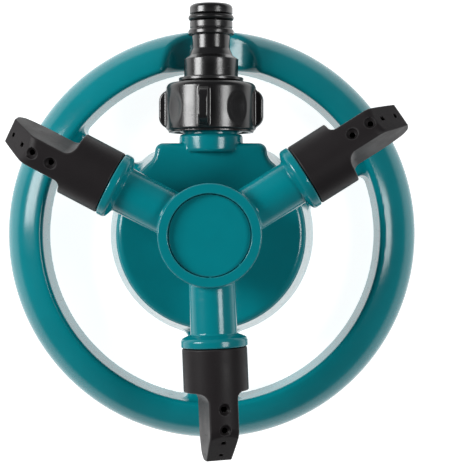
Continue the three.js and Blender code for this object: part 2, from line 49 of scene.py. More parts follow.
def cad(node):
    """Lowest and highest corner of a CAD node, in millimetres."""
    low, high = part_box(node)
    return Vector(low) / MM, Vector(high) / MM


# ---------------------------------------------------------------- dimensions
BASE_HIGH = cad("base_frame")[1]
HUB_LOW, HUB_HIGH = cad("rotor_hub")
CAP_LOW, CAP_HIGH = cad("hub_cap")
COVER_HIGH = cad("bottom_cover")[1]
NUT_LOW, NUT_HIGH = cad("connector_nut")
NIPPLE_LOW, NIPPLE_HIGH = cad("quick_connector")

WALL = 2.2
RING_R = BASE_HIGH.x
RING_INNER_R = 63.8
RING_DRAFT = 0.05
RING_ARC = (RING_R - 16.3, 3.5, 16.0)  # centre radius, centre height and radius of the outer curve
RING_CREST_FILLET = 2.0
SPOKE_ANGLES = (270, 150, 30)
SPOKE_HALF_W = 9.0
SPOKE_H = 14.0
SPOKE_START_R = 30  # inside the housing wall, so that bar and wall join

HOUSING_R = 40.1
HOUSING_H = 36.0
HOUSING_DRAFT = 0.136
HOUSING_RIM = 2.5
TOP_T = 2.5
FACE_Y = 34.2
FACE_HALF_W = 20.9
INLET_Z = (NIPPLE_LOW.z + NIPPLE_HIGH.z) / 2
BOSS_R = 12.0
BOSS_Y = (30.7, 37.7)
INLET_NECK_R = 10.65
INLET_BORE_R = 6.5
DUCT_R = 8.2  # the water way under the housing top, from the inlet to the well
DUCT_START_Y = -4
SPIGOT_END_Y = 47.8
NOTCH_R = 20.0
WELL_R = 11.5
WELL_BORE_R = 8.3
WELL_Z = (16.5, 19.0)
SCREW_CIRCLE_R = 29.0
POST_R = 3.6
PILOT_R = 1.8
PILOT_TOP_Z = 14
SCREW_HEAD_R = 3.1
SCREW_SHANK_R = 1.35
SCREW_Z = (0.3, 1.6, 13.4)  # outer face and underside of the head, and the point
SCREW_PITCH = 1.2
SCREW_SINK = (3.5, 1.9)  # radius and depth of the sink in the cover
COVER_GROOVE = (12.4, 0.5, 0.4)  # middle radius, half width and depth

PITCH = 1.814
# Each thread's root and crest radius, and its first and last ridge along the inlet.
MALE = (11.9, 13.0, 39.6, 46.8)
FEMALE = (13.5, 12.4, 40.507, 49.0)

ARM_ANGLES = (272.3, 152.3, 32.3)
ARM_Z = 63.0
ARM_R = 8.3
ARM_BORE_R = 5.2
COLLAR_R = 11.9
COLLAR_U = (35.1, 36.5, 39.5)  # where the flare starts, where it is full, and the outer face
SPIGOT_R = 8.6
SPIGOT_END_U = 50.8
BEAD_U = (42.3, 43.7)
ARM_SEAL_U = 47.3

JOURNAL_R = 7.5  # the spindle where the bush turns on it
RUNNING_R = 7.8  # the bore of everything that goes round it
SPINDLE_BORE_R = 4.8
# Outlines turned about an axis: radius, height along the axis and rounding of each corner.
SPINDLE_OUTLINE = [
    (8.0, 30, 0.3), (8.0, 36.3, 0.3), (9.4, 36.3, 0.1), (9.4, 38.2, 0.2), (11.6, 38.2, 0.2),
    (11.6, 36.3, 0.1), (15.5, 36.3, 0.3), (15.5, 40.3, 0.6), (JOURNAL_R, 40.3, 0.3),
    (JOURNAL_R, 54.3, 0.1), (6.3, 54.3, 0.1), (6.3, 55.9, 0.1), (JOURNAL_R, 55.9, 0.1),
    (JOURNAL_R, 57.5, 0.4), (SPINDLE_BORE_R, 57.5, 0.4), (SPINDLE_BORE_R, 30, 0.3),
]
LIP_SEAL_OUTLINE = [
    (10, 49.6, 0.3), (10, 52.4, 0.2), (9.4, 52.4, 0.2), (9.1, 50.6, 0.2), (8.7, 50.6, 0.2),
    (8.4, 52.4, 0.15), (RUNNING_R, 52.4, 0.15), (RUNNING_R, 49.6, 0.3),
]

HUB_R = 18.2
HUB_NECK_R = 14.0
HUB_SKIRT_Z = (46.0, 50.0)
RECESS_R = 14.6
LEDGE_Z = 69.9
CAVITY_R = 13.0
CAVITY_Z = 53.0
BUSH_SEAT = (10.3, 44)  # radius, and the height it starts at
HUB_BORE_R = 8.1
CAP_GROOVE_Z = 68.15
FLASH_ANGLES = (79.5, 316, 271)  # small moulding nubs round the cap's recess
FLASH_R = 0.4

SOCKET_R = 11.6
SOCKET_U = (39.8, 55.2)
TIP_U = 80.2
BLADE_HALF_T = 5.3
BLADE_BOTTOM = -6.5
SLOPE_U = 69.2
SLOPE = math.radians(46)
SLOPE_BEND_R = 1.5
TIP_CORNER_R = 3.5
TIP_TAPER = 0.6
SHOULDER_R = (2.9, 0.6)  # fillet between socket and blade, and how much it differs from side to side
LEANS_DEG = (14.5, 18, 17.5)
NOZZLE_WALL = 2.1
CHAMBER_U = 49.8
JET_U = (60.8, 68.2)
JET_R = 2.0
JET_RIM_W = 11.35  # heights above the arm's axis: where the rim opens, the dish, the chamber
JET_DISH_W = (9.9, 10.8)
JET_OUTLET_R = 1.0
CHAMBER_W = 5.0
SLOT_U = (72.8, 77.8)
SLOT_SIZE = (0.9, 1.45)

NUT_R = 16.9
NUT_Y = (NUT_LOW.y, NUT_HIGH.y)
NUT_WALL_Y = 52.5
NUT_HOLE_R = 9.9
NUT_CROWN_R = 13.2
FIN_R = 19.8
FIN_Y = (40.0, 54.6)
FIN_T = 3.8
FIN_ROOT_R = 8
FIN_TURN_DEG = -8.5
SCALLOP = (11.4, 9.9, 4.5)  # half width, half length and depth of the ball that cuts a finger dish
SCALLOP_OUT = 3.7  # how far the ball's centre stands outside the nut

NECK_R = 7.07
LATCH_LIP_R = 8.65
NOSE_R = 8.15
NIPPLE_BORE_R = 4.8
NIPPLE_OUTLINE = [
    (12.0, 50.8, 0.3), (12.0, 52.2, 0.5), (9.5, 52.2, 0.3), (9.5, 57.8, 0.2), (12.2, 57.8, 0.25),
    (12.2, 59.0, 0.25), (10.2, 59.0, 0.5), (10.2, 66.0, 0.5), (8.2, 67.4, 0.6), (NECK_R, 69.9, 1.8),
    (NECK_R, 75.1, 0.3), (LATCH_LIP_R, 75.1, 0.5), (LATCH_LIP_R, 76.9, 0.8), (7.9, 77.4, 0.25),
    (8.12, 77.9, 0.25), (8.12, 80.2, 0.3), (6.1, 80.2, 0.2), (6.1, 83.0, 0.2), (NOSE_R, 83.0, 0.3),
    (NOSE_R, 86.7, 1.9), (NIPPLE_BORE_R, 86.7, 0.5), (NIPPLE_BORE_R, 50.8, 0.4),
]


# ---------------------------------------------------------------- distance fields
# A field gives the signed distance to a surface, negative inside. Fields are joined, cut and
# rounded here, and carved turns one into a mesh.
def fillet_join(a, b, radius):
    """Both shapes, with a fillet of that radius in the corner between them."""
    corner = np.hypot(np.maximum(radius - a, 0), np.maximum(radius - b, 0))
    return np.maximum(radius, np.minimum(a, b)) - corner


def round_meet(a, b, radius):
    """What both shapes share, with the edge between them rounded."""
    corner = np.hypot(np.maximum(radius + a, 0), np.maximum(radius + b, 0))
    return np.minimum(-radius, np.maximum(a, b)) + corner


def cut(a, b, radius):
    """The first shape without the second, with the edge rounded."""
    return round_meet(a, -b, radius)


def span(value, low, high):
    """Distance to a slab between two values."""
    return np.maximum(low - value, value - high)


def along(x, y, angle):
    """Distance out along a direction in the ground plane, and across it."""
    c, s = math.cos(math.radians(angle)), math.sin(math.radians(angle))
    return x * c + y * s, y * c - x * s


def thread_ridge(radius, turn, height, thread):
    """A helical ridge: a trapezium that stands on the root radius and ends at the crest."""
    root, crest, first, last = thread
    phase = (height - first) / PITCH - turn / (2 * math.pi)
    offset = np.abs(phase - np.round(phase)) * PITCH
    depth = np.clip((radius - crest) / (root - crest), 0, 1.3)
    side = 1 if crest > root else -1
    ridge = np.maximum((offset - 0.2 - 0.4 * depth) * 0.9, (radius - crest) * side)
    return np.maximum(ridge, span(height, first - 0.3, last + 0.3))


EDGES = [
    ((0, 0, 0), (1, 0, 0)), ((0, 1, 0), (1, 1, 0)), ((0, 0, 1), (1, 0, 1)), ((0, 1, 1), (1, 1, 1)),
    ((0, 0, 0), (0, 1, 0)), ((1, 0, 0), (1, 1, 0)), ((0, 0, 1), (0, 1, 1)), ((1, 0, 1), (1, 1, 1)),
    ((0, 0, 0), (0, 0, 1)), ((1, 0, 0), (1, 0, 1)), ((0, 1, 0), (0, 1, 1)), ((1, 1, 0), (1, 1, 1)),
]


def gradient(field, points, step):
    """Slope of the field at each point."""
    slopes = []
    for axis in range(3):
        shift = np.zeros(3)
        shift[axis] = step
        ahead, behind = points + shift, points - shift
        slopes.append((field(*ahead.T) - field(*behind.T)) / (2 * step))
    return np.stack(slopes, axis=1)


def surface_net(field, low, high, cell):
    """Points and quads of the field's surface, with one point in each grid cell that it crosses."""
    ticks = [np.arange(a - 1.5 * cell, b + 2.5 * cell, cell) for a, b in zip(low, high)]
    grid = np.meshgrid(*ticks, indexing="ij", sparse=True)
    value = np.asarray(field(*grid), dtype=np.float32)
    inside = value < 0
    size = np.array(value.shape) - 1
    full = np.ones(size, dtype=bool)
    empty = np.ones(size, dtype=bool)
    for i in (0, 1):
        for j in (0, 1):
            for k in (0, 1):
                corner = inside[i:i + size[0], j:j + size[1], k:k + size[2]]
                full &= corner
                empty &= ~corner
    cells = np.argwhere(~full & ~empty)
    total = np.zeros((len(cells), 3))
    count = np.zeros(len(cells))
    for start, end in EDGES:
        a = value[tuple((cells + start).T)].astype(float)
        b = value[tuple((cells + end).T)].astype(float)
        crossed = (a < 0) != (b < 0)
        share = np.where(crossed, a / np.where(crossed, a - b, 1), 0)
        place = cells + np.array(start) + share[:, None] * (np.array(end) - np.array(start))
        total += place * crossed[:, None]
        count += crossed
    points = total / count[:, None] * cell + np.array([t[0] for t in ticks])

    number = np.full(size, -1, dtype=np.int64)
    number[tuple(cells.T)] = np.arange(len(cells))
    quads = []
    for axis in range(3):
        u, v = (axis + 1) % 3, (axis + 2) % 3
        near = [slice(None)] * 3
        far = [slice(None)] * 3
        near[axis], far[axis] = slice(0, -1), slice(1, None)
        flips = inside[tuple(near)] != inside[tuple(far)]
        for inner in (u, v):
            keep = [slice(None)] * 3
            keep[inner] = slice(1, -1)
            flips = flips[tuple(keep)]
        at = np.argwhere(flips)
        at[:, u] += 1
        at[:, v] += 1
        around = []
        for du, dv in ((-1, -1), (0, -1), (0, 0), (-1, 0)):
            neighbour = at.copy()
            neighbour[:, u] += du
            neighbour[:, v] += dv
            around.append(number[tuple(neighbour.T)])
        quad = np.stack(around, axis=1)
        rising = inside[tuple(at.T)]
        quad[~rising] = quad[~rising][:, ::-1]
        quads.append(quad)
    return points, np.concatenate(quads)


def settle(field, points, cell):
    """Moves the points onto the surface along its slope."""
    for _ in range(4):
        slope = gradient(field, points, 0.05 * cell)
        steep = np.maximum((slope ** 2).sum(axis=1), 0.05)
        step = slope * (field(*points.T) / steep)[:, None]
        length = np.linalg.norm(step, axis=1)
        points = points - step * np.minimum(1, 0.4 * cell / np.maximum(length, 1e-9))[:, None]
    return points


# ---------------------------------------------------------------- pieces
def turn(axis, degrees):
    return np.array(Matrix.Rotation(math.radians(degrees), 3, axis))


UPRIGHT = (np.eye(3), np.zeros(3))
ALONG_INLET = (turn("X", -90), np.array([0, 0, INLET_Z]))


def along_arm(angle):
    return turn("Z", angle) @ turn("Y", 90), np.array([0, 0, ARM_Z])


def leaning(angle, lean):
    return turn("Z", angle) @ turn("X", -lean), np.array([0, 0, ARM_Z])


def add_piece(name, shape, place, slot, body, *nodes):
    """A named mesh piece from local points, faces and normals, put where place says."""
    points, faces, normals, bend = shape
    matrix, offset = place
    mesh = bpy.data.meshes.new(name)
    mesh.from_pydata(((points @ matrix.T + offset) * MM).tolist(), [], faces.tolist())
    mesh.shade_smooth()
    mesh.normals_split_custom_set_from_vertices((normals @ matrix.T).tolist())
    mesh.attributes.new("bend", "FLOAT", "POINT").data.foreach_set("value", bend.astype(np.float32))
    mesh.materials.append(MATERIALS[slot])
    piece = bpy.data.objects.new(name, mesh)
    bpy.context.scene.collection.objects.link(piece)
    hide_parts(*nodes)
    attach(piece, body)
    return piece


def bend_of(field, points, step):
    """How sharply the surface turns at each point, per millimetre: high on an outer edge."""
    total = -6 * field(*points.T)
    for axis in range(3):
        shift = np.zeros(3)
        shift[axis] = step
        total = total + field(*(points + shift).T) + field(*(points - shift).T)
    return total / step ** 2


def carved(field, low, high, cell):
    """Points, faces, normals and bends of a field's surface."""
    points, quads = surface_net(field, low, high, cell)
    points = settle(field, points, cell)
    slope = gradient(field, points, 0.1 * cell)
    normals = slope / np.maximum(np.linalg.norm(slope, axis=1), 1e-9)[:, None]
    return points, quads, normals, bend_of(field, points, 0.25)


def outline_of(corners, steps=5):
    """Points, outward normals and bends round a closed outline of (radius, height, rounding) corners."""
    spots = np.array([corner[:2] for corner in corners], dtype=float)
    after = np.roll(spots, -1, axis=0)
    turning = np.sign((spots[:, 0] * after[:, 1] - after[:, 0] * spots[:, 1]).sum())
    points, normals, bends = [], [], []
    for i, (_, _, rounding) in enumerate(corners):
        back = spots[i - 1] - spots[i]
        ahead = after[i] - spots[i]
        limit = 0.49 * min(np.linalg.norm(back), np.linalg.norm(ahead))
        back, ahead = back / np.linalg.norm(back), ahead / np.linalg.norm(ahead)
        half = math.acos(max(-1, min(1, back @ ahead))) / 2
        reach = min(rounding / math.tan(half), limit)
        size = reach * math.tan(half)
        middle = (back + ahead) / np.linalg.norm(back + ahead)
        centre = spots[i] + middle * size / math.sin(half)
        bulges = np.sign(ahead[0] * back[1] - ahead[1] * back[0]) * turning
        first = (spots[i] + back * reach - centre) / size
        last = (spots[i] + ahead * reach - centre) / size
        for share in np.linspace(0, 1, steps + 1):
            direction = first * (1 - share) + last * share
            direction /= np.linalg.norm(direction)
            points.append(centre + direction * size)
            normals.append(direction * bulges)
            bends.append(bulges / size)
    return np.array(points), np.array(normals), np.array(bends)


def turned(corners, segments=96):
    """Points, faces, normals and bends of a rounded outline turned about the local Z axis."""
    outline, slopes, bends = outline_of(corners)
    angles = np.arange(segments) * 2 * math.pi / segments
    c, s = np.cos(angles)[:, None], np.sin(angles)[:, None]

    def swept(flat):
        return np.stack([flat[:, 0] * c, flat[:, 0] * s, flat[:, 1] + 0 * c], axis=2).reshape(-1, 3)

    count = len(outline)
    ring = np.arange(segments)[:, None] * count
    following = np.roll(np.arange(segments), -1)[:, None] * count
    here = np.arange(count)[None]
    there = np.roll(np.arange(count), -1)[None]
    faces = np.stack([ring + here, following + here, following + there, ring + there], axis=2)
    faces = faces.reshape(-1, 4)
    after = np.roll(outline, -1, axis=0)
    if (outline[:, 0] * after[:, 1] - after[:, 0] * outline[:, 1]).sum() < 0:
        faces = faces[:, ::-1]
    return swept(outline), faces, swept(slopes), np.tile(bends, segments)


def washer(inner, outer, low, high, rounding=0.25):
    corners = ((outer, low), (outer, high), (inner, high), (inner, low))
    return turned([(radius, height, rounding) for radius, height in corners])


def seal_ring(radius, wire_r, height):
    """An O-ring: a square outline rounded until it is a circle."""
    return washer(radius - wire_r, radius + wire_r, height - wire_r, height + wire_r, wire_r)


# ---------------------------------------------------------------- base
def ring_side(radius, z, inset):
    """The ring's section: an arc outside and over the crest, and a drafted wall inside."""
    centre_r, centre_z, arc = RING_ARC
    crown = np.hypot(radius - centre_r, np.maximum(z - centre_z, 0)) - (arc - inset)
    wall = RING_INNER_R + RING_DRAFT * z + inset - radius
    return round_meet(crown, wall, max(RING_CREST_FILLET - inset, 0.6))


def scooped(x, y, z, ring, inset):
    scoop = np.maximum(np.hypot(x, z - INLET_Z) - NOTCH_R - inset, 50 - y)
    return cut(ring, scoop, 1.8)


def housing_side(x, y, z, radius):
    cone = (radius - HOUSING_R + HOUSING_DRAFT * z) * math.cos(math.atan(HOUSING_DRAFT))
    strip = np.maximum(np.abs(x) - FACE_HALF_W, 10 - y)
    return round_meet(fillet_join(cone, strip, 2.0), y - FACE_Y + 0 * z, 3.0)


def base_field(x, y, z):
    radius = np.hypot(x, y)
    ring = scooped(x, y, z, ring_side(radius, z, 0), 0)
    ring_space = scooped(x, y, z, ring_side(radius, z, WALL), WALL)
    side = housing_side(x, y, z, radius)
    housing = round_meet(side, z - HOUSING_H, HOUSING_RIM)

    bars, bar_spaces = 1e3, 1e3
    for angle in SPOKE_ANGLES:
        out, across = along(x, y, angle)
        across = np.abs(across)
        bar = round_meet(across - SPOKE_HALF_W, z - SPOKE_H, 1.6)
        bars = np.minimum(bars, np.maximum(bar, span(out, SPOKE_START_R, RING_INNER_R + 3)))
        inner = np.maximum(across - SPOKE_HALF_W + WALL, z - SPOKE_H + WALL)
        inner = np.maximum(inner, span(out, HOUSING_R + 0.2, RING_INNER_R - 0.2))
        bar_spaces = np.minimum(bar_spaces, inner)

    shell = fillet_join(ring, bars, 3.5)
    shell = fillet_join(shell, housing, 3.0)
    shell = cut(shell, ring_space, 0.35)
    shell = cut(shell, bar_spaces, 0.35)
    shell = cut(shell, np.maximum(side + WALL, z - HOUSING_H + TOP_T), 0.35)

    inlet = np.hypot(x, z - INLET_Z)
    duct = np.maximum(inlet - DUCT_R, span(y, DUCT_START_Y, FACE_Y - 1))
    duct = np.maximum(duct, z - HOUSING_H + 0.8)
    well = np.maximum(radius - WELL_R, span(z, WELL_Z[0], HOUSING_H - 0.8))
    shell = fillet_join(shell, fillet_join(duct, well, 1.0), 0.8)
    for angle in SPOKE_ANGLES:
        out, across = along(x, y, angle)
        from_post = np.hypot(out - SCREW_CIRCLE_R, across)
        post = np.maximum(from_post - POST_R, span(z, COVER_HIGH.z + 0.3, HOUSING_H - 1.5))
        shell = fillet_join(shell, post, 0.6)
        shell = np.maximum(shell, -np.maximum(from_post - PILOT_R, z - PILOT_TOP_Z))

    boss = round_meet(inlet - BOSS_R, span(y, *BOSS_Y), 1.3)
    shell = fillet_join(shell, boss, 0.5)
    shell = cut(shell, np.maximum(inlet - INLET_BORE_R, -y), 0.3)
    shell = cut(shell, np.maximum(radius - WELL_BORE_R, WELL_Z[1] - z), 0.4)
    return round_meet(shell, -z, 0.35)


def spigot_field(x, y, z):
    """The threaded inlet spigot, made about its own axis."""
    radius = np.hypot(x, y)
    neck = np.maximum(radius - INLET_NECK_R, span(z, BOSS_Y[1] - 0.6, BOSS_Y[1] + 2))
    root = round_meet(radius - MALE[0], span(z, BOSS_Y[1] + 0.9, SPIGOT_END_Y), 0.5)
    ridge = thread_ridge(radius, np.arctan2(y, x), z, MALE)
    body = np.minimum(fillet_join(neck, root, 0.4), ridge)
    return cut(body, radius - INLET_BORE_R + 0.1 + 0 * z, 0.4)


def cover_field(x, y, z):
    radius = np.hypot(x, y)
    edge = round_meet(radius - COVER_HIGH.x, y - COVER_HIGH.y + 0 * z, 1.5)
    plate = round_meet(edge, span(z, 0, COVER_HIGH.z), 0.5)
    middle, half_w, depth = COVER_GROOVE
    plate = cut(plate, np.maximum(np.abs(radius - middle) - half_w, z - depth), 0.15)
    for angle in SPOKE_ANGLES:
        out, across = along(x, y, angle)
        from_screw = np.hypot(out - SCREW_CIRCLE_R, across)
        plate = cut(plate, np.maximum(from_screw - SCREW_SINK[0], z - SCREW_SINK[1]), 0.25)
        plate = np.maximum(plate, PILOT_R - from_screw)
    return plate


def screw_field(x, y, z):
    """A cover screw with a cross recess, head down, about its own axis."""
    radius = np.hypot(x, y)
    face, under, point = SCREW_Z
    head = round_meet(radius - SCREW_HEAD_R, span(z, face, under), 0.45)
    crest = 0.2 * np.cos(2 * math.pi * z / SCREW_PITCH - np.arctan2(y, x))
    shank = round_meet(radius - SCREW_SHANK_R - crest, span(z, under - 0.4, point), 0.5)
    taper = 0.1 + 0.25 * np.maximum(0, 1.5 - z)
    bar_x = np.maximum(np.abs(x) - taper - 1.2, np.abs(y) - taper)
    bar_y = np.maximum(np.abs(y) - taper - 1.2, np.abs(x) - taper)
    recess = np.maximum(np.minimum(bar_x, bar_y), z - 1.3)
    return cut(np.minimum(head, shank), recess, 0.05)


def make_base():
    base = carved(base_field, (-RING_R, -RING_R, 0), (RING_R, RING_R, 40), 0.8)
    add_piece("base_shell", base, UPRIGHT, "teal_plastic", "base", "base_frame")
    reach = MALE[1]
    low, high = (-reach, -reach, BOSS_Y[1] - 0.6), (reach, reach, SPIGOT_END_Y)
    spigot = carved(spigot_field, low, high, 0.35)
    add_piece("inlet_spigot", spigot, ALONG_INLET, "teal_plastic", "base", "base_frame")
    reach = COVER_HIGH.x
    cover = carved(cover_field, (-reach, -reach, 0), (reach, COVER_HIGH.y, COVER_HIGH.z), 0.5)
    add_piece("cover_plate", cover, UPRIGHT, "cover_plastic", "base", "bottom_cover")
    reach = SCREW_HEAD_R
    screw = carved(screw_field, (-reach, -reach, SCREW_Z[0]), (reach, reach, SCREW_Z[2]), 0.2)
    for i, angle in enumerate((150, 270, 30)):
        matrix = turn("Z", angle)
        place = (matrix, matrix @ np.array([SCREW_CIRCLE_R, 0, 0]))
        add_piece(f"cross_screw_{i + 1}", screw, place, "stainless_steel", "base", f"cover_screw_{i + 1}")


def make_bearing():
    spindle = turned(SPINDLE_OUTLINE)
    add_piece("riser_tube", spindle, UPRIGHT, "bearing_plastic", "base", "riser_spindle")
    thrust_ring = washer(RUNNING_R, 13.5, 40.6, 41.8)
    bush = washer(RUNNING_R, 10, 44.3, 49.3, 0.4)
    steel_washer = washer(RUNNING_R, 12, 53.3, 54.3, 0.15)
    rings = [
        ("riser_ring_seal", seal_ring(10.5, 0.8, 37.1), "seal_rubber", "base", "riser_seal"),
        ("thrust_ring", thrust_ring, "bearing_plastic", "base", "thrust_washer"),
        ("bush_ring", bush, "bearing_plastic", "rotor", "bearing_bush"),
        ("lip_seal", turned(LIP_SEAL_OUTLINE), "seal_rubber", "rotor", "hub_seal"),
        ("steel_washer", steel_washer, "stainless_steel", "base", "retaining_washer"),
        ("cap_ring_seal", seal_ring(12.15, 0.6, 69.1), "seal_rubber", "rotor", "cap_seal"),
    ]
    for name, shape, slot, body, node in rings:
        add_piece(name, shape, UPRIGHT, slot, body, node)


# ---------------------------------------------------------------- rotor
def rotor_field(x, y, z):
    radius = np.hypot(x, y)
    rise = HUB_SKIRT_Z[1] - HUB_SKIRT_Z[0]
    flare = HUB_R - HUB_NECK_R
    skirt = ((radius - HUB_NECK_R) * rise - (z - HUB_SKIRT_Z[0]) * flare) / math.hypot(rise, flare)
    drum = round_meet(round_meet(radius - HUB_R, skirt, 1.5), z - HUB_HIGH.z, 0.45)
    neck = round_meet(radius - HUB_NECK_R, span(z, HUB_LOW.z, 56), 0.4)
    arms, bores = 1e3, 1e3
    for angle in ARM_ANGLES:
        out, across = along(x, y, angle)
        reach = np.hypot(across, z - ARM_Z)
        tube = np.maximum(reach - ARM_R, span(out, 0, COLLAR_U[1]))
        widen = COLLAR_R - ARM_R - 0.5
        length = COLLAR_U[1] - COLLAR_U[0]
        slant = (reach - COLLAR_R) * length - (out - COLLAR_U[1]) * widen
        collar = round_meet(reach - COLLAR_R, slant / math.hypot(widen, length), 0.8)
        collar = round_meet(collar, span(out, COLLAR_U[0], COLLAR_U[2]), 0.5)
        spigot = round_meet(reach - SPIGOT_R, span(out, COLLAR_U[1], SPIGOT_END_U), 0.6)
        bead = np.maximum(reach - SPIGOT_R - 0.43 * (BEAD_U[1] - out), span(out, *BEAD_U))
        groove = np.maximum(SPIGOT_R - 1.3 - reach, np.abs(out - ARM_SEAL_U) - 1)
        arm = np.minimum(fillet_join(tube, collar, 0.8), np.maximum(np.minimum(spigot, bead), -groove))
        arms = np.minimum(arms, arm)
        bores = np.minimum(bores, np.maximum(reach - ARM_BORE_R, -out))
    body = fillet_join(fillet_join(drum, neck, 1.0), arms, 0.9)
    body = cut(body, bores, 0.4)
    body = cut(body, radius - HUB_BORE_R + 0 * z, 0.3)
    body = cut(body, np.maximum(radius - BUSH_SEAT[0], BUSH_SEAT[1] - z), 0.3)
    body = cut(body, np.maximum(radius - CAVITY_R, CAVITY_Z - z), 0.3)
    body = cut(body, np.maximum(radius - RECESS_R, LEDGE_Z - z), 0.3)
    for angle in FLASH_ANGLES:
        out, across = along(x, y, angle)
        under_rim = z - HUB_HIGH.z + 0.75
        nub = np.sqrt((out - RECESS_R) ** 2 + across ** 2 + under_rim ** 2) - FLASH_R
        body = np.minimum(body, nub)
    return body


def cap_field(x, y, z):
    radius = np.hypot(x, y)
    lid = round_meet(radius - RECESS_R + 0.12, span(z, LEDGE_Z + 0.3, CAP_HIGH.z), 0.3)
    plug = round_meet(radius - CAVITY_R + 0.3, span(z, CAP_LOW.z, LEDGE_Z + 1), 0.5)
    groove = np.maximum(CAVITY_R - 1.9 - radius, span(z, CAP_GROOVE_Z, LEDGE_Z + 0.3))
    return np.minimum(lid, np.maximum(plug, -groove))


def make_rotor():
    reach = SPIGOT_END_U
    rotor = carved(rotor_field, (-reach, -reach, HUB_LOW.z), (reach, reach, HUB_HIGH.z), 0.5)
    add_piece("rotor_body", rotor, UPRIGHT, "teal_plastic", "rotor", "rotor_hub")
    reach = CAP_HIGH.x
    cap = carved(cap_field, (-reach, -reach, CAP_LOW.z), (reach, reach, CAP_HIGH.z), 0.4)
    add_piece("cap_disc", cap, UPRIGHT, "teal_plastic", "rotor", "hub_cap")
    ring = seal_ring(SPIGOT_R - 0.4, 0.6, ARM_SEAL_U)
    for i, angle in enumerate(ARM_ANGLES):
        name, node = f"arm_ring_seal_{i + 1}", f"arm_seal_{i + 1}"
        add_piece(name, ring, along_arm(angle), "seal_rubber", "rotor", node)


# ---------------------------------------------------------------- nozzles
def nozzle_field(u, v, w):
    """A nozzle head, with u out along the arm, v across it and w up."""
    reach = np.hypot(v, w)
    side = np.abs(v)
    fall = (w - SOCKET_R) * math.cos(SLOPE) + (u - SLOPE_U) * math.sin(SLOPE)
    end = round_meet(BLADE_BOTTOM - w, u - TIP_U, TIP_CORNER_R)
    taper = TIP_TAPER * np.clip((u - SLOPE_U + 2) / 12, 0, 1) ** 2
    blade = round_meet(side - BLADE_HALF_T + taper, end + 0 * v, 0.45)
    blade = np.maximum(blade, CHAMBER_U - 1 - u)
    shoulder = SHOULDER_R[0] - SHOULDER_R[1] * np.clip(v / 5, -1, 1)
    outer = fillet_join(span(u, *SOCKET_U) + 0 * reach, blade, shoulder)
    outer = round_meet(outer, round_meet(reach - SOCKET_R, fall, SLOPE_BEND_R), 0.5)

    bore = np.maximum(reach - SPIGOT_R - 0.4, u - SPIGOT_END_U - 0.8)
    groove = np.maximum(reach - SPIGOT_R - 1.0, span(u, BEAD_U[0] - 0.4, BEAD_U[1] + 0.3))
    chamber = np.maximum(np.maximum(fall, reach - SOCKET_R), side - BLADE_HALF_T) + NOZZLE_WALL
    chamber = np.maximum(chamber, BLADE_BOTTOM + NOZZLE_WALL - w)
    chamber = np.maximum(chamber, span(u, CHAMBER_U, TIP_U - NOZZLE_WALL))
    head = cut(outer, np.minimum(np.minimum(bore, groove), chamber), 0.3)
    for at in JET_U:
        from_jet = np.hypot(u - at, v)
        rim = np.maximum((from_jet - JET_R + JET_RIM_W - w) * 0.71, JET_RIM_W - w)
        well = np.maximum(from_jet - JET_R, JET_DISH_W[1] - w)
        dish = np.maximum((from_jet - JET_R + JET_DISH_W[1] - w) * 0.71, JET_DISH_W[0] - w)
        dish = np.maximum(dish, from_jet - JET_R)
        outlet = np.maximum(from_jet - JET_OUTLET_R, CHAMBER_W - w)
        head = cut(head, np.minimum(np.minimum(rim, well), np.minimum(dish, outlet)), 0.1)
    for at in SLOT_U:
        slot = np.maximum(np.abs(u - at) - SLOT_SIZE[0] / 2, side - SLOT_SIZE[1] / 2)
        head = np.maximum(head, -np.maximum(slot, 1 - w))
    return head


def make_nozzles():
    low = (SOCKET_U[0], -SOCKET_R, -SOCKET_R)
    head = carved(nozzle_field, low, (TIP_U, SOCKET_R, SOCKET_R), 0.3)
    for i, angle in enumerate(ARM_ANGLES):
        name, body, node = f"spray_head_{i + 1}", f"nozzle_{i + 1}", f"nozzle_head_{i + 1}"
        add_piece(name, head, leaning(angle, LEANS_DEG[i]), "black_plastic", body, node)


# ---------------------------------------------------------------- hose connector
def nut_field(x, y, z):
    """The hose nut, made about its own axis."""
    radius = np.hypot(x, y)
    crown = (z - NUT_Y[1]) * 0.97 + (radius - NUT_CROWN_R) * 0.16
    body = round_meet(radius - NUT_R, crown, 1.7)
    lip = np.maximum(radius - NUT_R + 0.8, span(z, NUT_Y[0], 44))
    body = round_meet(body, NUT_Y[0] + 1.0 - z, 0.6)
    body = fillet_join(body, round_meet(lip, NUT_Y[0] - z, 0.4), 0.2)
    for k in range(4):
        out, side = along(x, y, FIN_TURN_DEG + 90 * k)
        fin = round_meet(out - FIN_R, span(z, *FIN_Y), 4.4)
        fin = round_meet(np.maximum(fin, FIN_ROOT_R - out), np.abs(side) - FIN_T / 2, 0.7)
        body = fillet_join(body, fin, 0.7)
    middle = (FIN_Y[0] + FIN_Y[1]) / 2
    for k in range(4):
        out, side = along(x, y, FIN_TURN_DEG + 45 + 90 * k)
        depth = (out - NUT_R - SCALLOP_OUT) / SCALLOP[2]
        dish = np.sqrt((side / SCALLOP[0]) ** 2 + ((z - middle) / SCALLOP[1]) ** 2 + depth ** 2)
        body = cut(body, (dish - 1) * SCALLOP[2], 0.3)
    space = np.minimum(np.maximum(radius - FEMALE[0], z - NUT_WALL_Y), radius - NUT_HOLE_R)
    space = np.minimum(space, np.maximum(radius - FEMALE[0] - 0.5, z - NUT_Y[0] - 0.8))
    body = cut(body, space, 0.35)
    ridge = thread_ridge(radius, np.arctan2(y, x), z, FEMALE)
    return np.minimum(body, np.maximum(ridge, radius - FEMALE[0] - 1))


